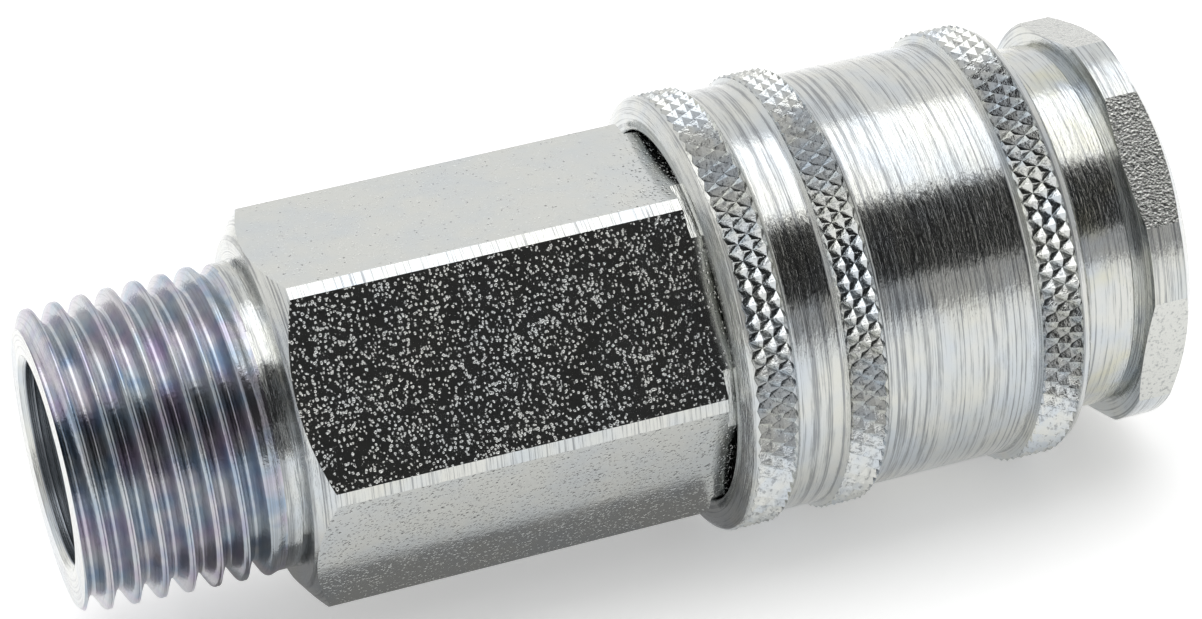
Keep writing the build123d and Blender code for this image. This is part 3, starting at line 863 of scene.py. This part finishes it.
# ---------------------------------------------------------------- nose
class COUPLER_OT_nose(bpy.types.Operator):
    """Model the neck and the hexagon nose"""

    bl_idname = "coupler.nose"
    bl_label = "Nose"

    def execute(self, context):
        sizes = context.scene.coupler_sizes
        flange = NOSE_END - 3.7
        barrel_end = span("barrel")[1]
        barrel_radius, socket_radius, lead_in = 7.95, 6.05, 0.9
        half_width = HEX_HALF_WIDTH + 1.5
        corner_radius = half_width + 0.8
        groove_radius = NECK_RADIUS - 0.35
        groove_start, groove_floor, joint = flange - 0.6, flange - 0.5, flange + 0.4
        neck_end = flange - 0.4
        back_chamfer, back_drop, front_chamfer, front_drop = 0.25, 0.1, 1.1, 1.87
        neck_round, groove_round, fine_round, socket_round = 0.3, 0.12, 0.1, 0.15
        edge_round = 0.06
        nose = spin_outline(
            "nose",
            [
                (NOSE_START, barrel_radius, 0),
                (NOSE_START, NECK_RADIUS, neck_round),
                (groove_start, NECK_RADIUS, groove_round),
                (groove_floor, groove_radius, fine_round),
                (joint, groove_radius, 0),
                (joint, barrel_radius, 0),
            ],
        )
        hexagon = spin_outline(
            "nose_hexagon",
            [
                (flange, barrel_radius, 0),
                (flange, half_width - back_drop, fine_round / 2),
                (flange + back_chamfer, corner_radius, fine_round),
                (NOSE_END - front_chamfer, corner_radius, 0),
                (NOSE_END, corner_radius - front_drop, fine_round),
                (NOSE_END, socket_radius + lead_in, fine_round),
                (NOSE_END - lead_in, socket_radius, socket_round),
                (barrel_end, socket_radius, 0),
                (barrel_end, barrel_radius, 0),
            ],
        )
        ends = flange - BEYOND, NOSE_END + BEYOND
        prism = hexagon_prism("flats", *ends, half_width, sizes.nose_turn)
        combine(hexagon, prism, "INTERSECT")
        round_edges(hexagon, edge_round, math.radians(13))
        combine(hexagon, nose, "UNION")
        hexagon.name = "nose_hexagon"

        def choose(centre, normal):
            if centre.x < neck_end:
                return 1
            flat = centre.x > flange and on_flat(centre, normal, half_width, sizes.nose_turn)
            return 2 if flat else 0

        finish_piece(
            hexagon,
            [
                shared(turned_zinc_plated_steel),
                shared(fine_turned_zinc_plated_steel),
                shared(etched_zinc_plated_steel),
            ],
            choose,
        )
        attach(hexagon, "coupler_body")
        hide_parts("nose_cap")
        return {"FINISHED"}


# ---------------------------------------------------------------- springs
def coil_spring(name, node, wire, coils):
    """Compression spring in the place of a CAD node, its last half turn at each end closed up."""
    start, end = span(node)
    radius = reach(node) - wire / 2
    steps, around_wire, closing = 48, 16, 0.035
    bpy.ops.object.select_all(action="DESELECT")
    bpy.ops.mesh.primitive_circle_add(
        vertices=around_wire,
        radius=wire / 2,
        fill_type="NOTHING",
        location=(0, 0, radius),
        rotation=(math.pi / 2, 0, 0),
    )
    piece = bpy.context.object
    piece.name = name
    bpy.ops.object.transform_apply()
    modifier = piece.modifiers.new("Coil", "SCREW")
    modifier.axis = "X"
    modifier.angle = FULL_TURN * coils
    modifier.screw_offset = 0
    modifier.steps = round(steps * coils)
    modifier.render_steps = round(steps * coils)
    apply_modifier(piece, modifier)
    rise = end - start - wire
    columns = len(piece.data.vertices) // around_wire
    for i, vertex in enumerate(piece.data.vertices):
        share = (i // around_wire) / (columns - 1)
        eased = share - closing * math.sin(FULL_TURN * share)
        vertex.co.x += start + wire / 2 + rise * eased
    bpy.ops.object.mode_set(mode="EDIT")
    bpy.ops.mesh.select_all(action="DESELECT")
    bpy.ops.mesh.select_mode(type="EDGE")
    bpy.ops.mesh.select_non_manifold(extend=False, use_boundary=True)
    bpy.ops.mesh.edge_face_add()
    return face_outwards(piece)


class COUPLER_OT_springs(bpy.types.Operator):
    """Model the sleeve spring and the valve spring"""

    bl_idname = "coupler.springs"
    bl_label = "Springs"

    def execute(self, context):
        sizes = context.scene.coupler_sizes

        wire = sizes.sleeve_wire / MM
        sleeve_coil = coil_spring("sleeve_coil", "sleeve_spring", wire, sizes.sleeve_coils)
        finish_piece(sleeve_coil, [shared(drawn_spring_steel)], lambda centre, normal: 0)
        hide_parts("sleeve_spring")
        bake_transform(sleeve_coil)

        wire = sizes.valve_wire / MM
        valve_coil = coil_spring("valve_coil", "valve_spring", wire, sizes.valve_coils)
        finish_piece(valve_coil, [shared(drawn_spring_steel)], lambda centre, normal: 0)
        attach(valve_coil, "coupler_body")
        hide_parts("valve_spring")
        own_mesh(valve_coil)
        return {"FINISHED"}


# ---------------------------------------------------------------- pieces whose CAD shape is right
class COUPLER_OT_inner_pieces(bpy.types.Operator):
    """Give the pieces inside the coupler their materials"""

    bl_idname = "coupler.inner_pieces"
    bl_label = "Inner pieces"

    def execute(self, context):
        makers = {
            "zinc_plated_steel": turned_zinc_plated_steel,
            "spring_steel": drawn_spring_steel,
            "bearing_steel": lapped_bearing_steel,
            "turned_brass": turned_free_cutting_brass,
            "nitrile_rubber": moulded_nitrile_rubber,
        }
        for part in frame["record"]["subparts"]:
            piece = frame["nodes"][part["node"]]
            material = shared(makers[part["material_slot"]])
            for slot in piece.material_slots:
                slot.material = material
        return {"FINISHED"}


# ---------------------------------------------------------------- stage
class COUPLER_OT_stage(bpy.types.Operator):
    """Set out the floor, the soft lights and the camera"""

    bl_idname = "coupler.stage"
    bl_label = "Stage"

    def execute(self, context):
        scene = context.scene
        floor_material, tree, place, colours = new_material("pale_floor")
        cloud_width, floor_size, below = 40, 6.0, 0.0001
        mottle = add_node(tree, "TexNoise", place, 1 / cloud_width, *SOFT)
        tone = add_node(tree, "Mix", mottle, colours.floor, colours.floor_mottle, data_type="RGBA")
        look = {"Base Color": tone, "Roughness": 0.6}
        look |= {"Emission Color": (1, 1, 1, 1), "Emission Strength": 0.32}
        add_node(tree, "OutputMaterial", add_node(tree, "BsdfPrincipled", named=look))
        bpy.ops.object.select_all(action="DESELECT")
        bpy.ops.mesh.primitive_plane_add(size=floor_size, location=(0, 0, -RING_RADIUS * MM - below))
        floor = context.object
        floor.name = "floor"
        floor.data.materials.append(floor_material)

        self.tent(scene)
        self.softbox("overhead", place=(0.04, 0.0, 0.45), size=(0.55, 0.42), power=0.95)
        dark_side, tilt = (0.103, -0.194, 0.163), math.radians(40)
        self.flag("camera_flag", place=dark_side, elevation=tilt, size=(0.28, 0.194))
        beside, tilt = (0.045, -0.15, 0.018), math.radians(6)
        self.flag("thread_flag", place=beside, elevation=tilt, size=(0.05, 0.07))
        # Painted shadow: a dark card under the coupler, seen only in the metal's reflections and glowing
        # faintly, stands in for its own shadow on the floor
        under = (0.026, 0.0045, 0.0005 - RING_RADIUS * MM)
        self.flag("under_card", place=under, elevation=math.pi / 2, size=(0.036, 0.028), glow=0.22)
        self.camera(scene)
        scene.view_settings.view_transform = "Standard"
        return {"FINISHED"}

    def tent(self, scene):
        """White tent all round, a little brighter behind the coupler than on the camera's side."""
        world = bpy.data.worlds.new("soft_tent")
        world.use_nodes = True
        tree = world.node_tree
        background = tree.nodes["Background"]
        background.inputs["Color"].default_value = (1, 1, 1, 1)
        place = add_node(tree, "TexCoord")
        sideways = add_node(tree, "SeparateXYZ", place, output=1)
        near, far, near_glow, far_glow = -0.8, 0.8, 0.5, 1.05
        fade = (near, far, near_glow, far_glow)
        strength = add_node(tree, "MapRange", sideways, *fade, interpolation_type="SMOOTHSTEP")
        tree.links.new(strength, background.inputs["Strength"])
        scene.world = world

    def softbox(self, name, place, size, power):
        """Large rectangular light that shines straight down."""
        light = bpy.data.lights.new(name, "AREA")
        light.shape = "RECTANGLE"
        light.size, light.size_y = size
        light.energy = power
        lamp = bpy.data.objects.new(name, light)
        lamp.location = place
        lamp.visible_camera = False
        bpy.context.scene.collection.objects.link(lamp)

    def flag(self, name, place, elevation, size, glow=0.0):
        """Dark card that only the metal sees: the dark side of the studio, or the shade underneath."""
        bpy.ops.object.select_all(action="DESELECT")
        bpy.ops.mesh.primitive_plane_add(size=1, location=place)
        card = bpy.context.object
        card.name = name
        card.scale = (size[0], size[1], 1)
        card.rotation_euler = (math.pi / 2 - elevation, 0, 0)
        material, tree, _, colours = new_material("black_card_" + name)
        look = {"Base Color": colours.card, "Roughness": 0.9}
        look |= {"Emission Color": (1, 1, 1, 1), "Emission Strength": glow}
        add_node(tree, "OutputMaterial", add_node(tree, "BsdfPrincipled", named=look))
        card.data.materials.append(material)
        card.visible_camera = False
        card.visible_diffuse = False
        card.visible_shadow = False

    def camera(self, scene):
        """Long lens from the thread's side, a little above, tipped to lift the nose end."""
        azimuth = math.radians(16.54)
        elevation = math.radians(27.84)
        roll = math.radians(-5.38)
        distance = 0.285
        aim = Vector((0.03902, 0.00072, 0.00131))
        data = bpy.data.cameras.new("camera")
        data.lens = 125.61
        data.sensor_width = 36
        data.clip_start = 0.01
        camera = bpy.data.objects.new("camera", data)
        level = math.cos(elevation)
        away = Vector((math.sin(azimuth) * level, math.cos(azimuth) * level, -math.sin(elevation)))
        camera.location = aim - away * distance
        upright = Euler((math.pi / 2 - elevation, 0, -azimuth)).to_matrix()
        camera.rotation_euler = (upright @ Matrix.Rotation(roll, 3, "Z")).to_euler()
        scene.collection.objects.link(camera)
        scene.camera = camera


class COUPLER_PT_panel(bpy.types.Panel):
    """Buttons for each piece, in the 3D view's sidebar"""

    bl_label = "Coupler"
    bl_idname = "COUPLER_PT_panel"
    bl_space_type = "VIEW_3D"
    bl_region_type = "UI"
    bl_category = "Coupler"

    def draw(self, context):
        for operator in OPERATORS:
            self.layout.operator(operator.bl_idname)
        for group in (context.scene.coupler_sizes, context.scene.coupler_colours):
            for name in group.bl_rna.properties.keys():
                if name not in ("rna_type", "name"):
                    self.layout.prop(group, name)


OPERATORS = (
    COUPLER_OT_inner_pieces,
    COUPLER_OT_threaded_body,
    COUPLER_OT_locking_sleeve,
    COUPLER_OT_nose,
    COUPLER_OT_springs,
    COUPLER_OT_stage,
)
CLASSES = (CouplerSizes, CouplerColours, *OPERATORS, COUPLER_PT_panel)


def register():
    for cls in CLASSES:
        bpy.utils.register_class(cls)
    bpy.types.Scene.coupler_sizes = bpy.props.PointerProperty(type=CouplerSizes)
    bpy.types.Scene.coupler_colours = bpy.props.PointerProperty(type=CouplerColours)


def unregister():
    del bpy.types.Scene.coupler_sizes
    del bpy.types.Scene.coupler_colours
    for cls in reversed(CLASSES):
        bpy.utils.unregister_class(cls)


def main():
    register()
    bpy.ops.coupler.inner_pieces()
    bpy.ops.coupler.threaded_body()
    bpy.ops.coupler.locking_sleeve()
    bpy.ops.coupler.nose()
    bpy.ops.coupler.springs()
    bpy.ops.coupler.stage()


if __name__ == "__main__":
    main()
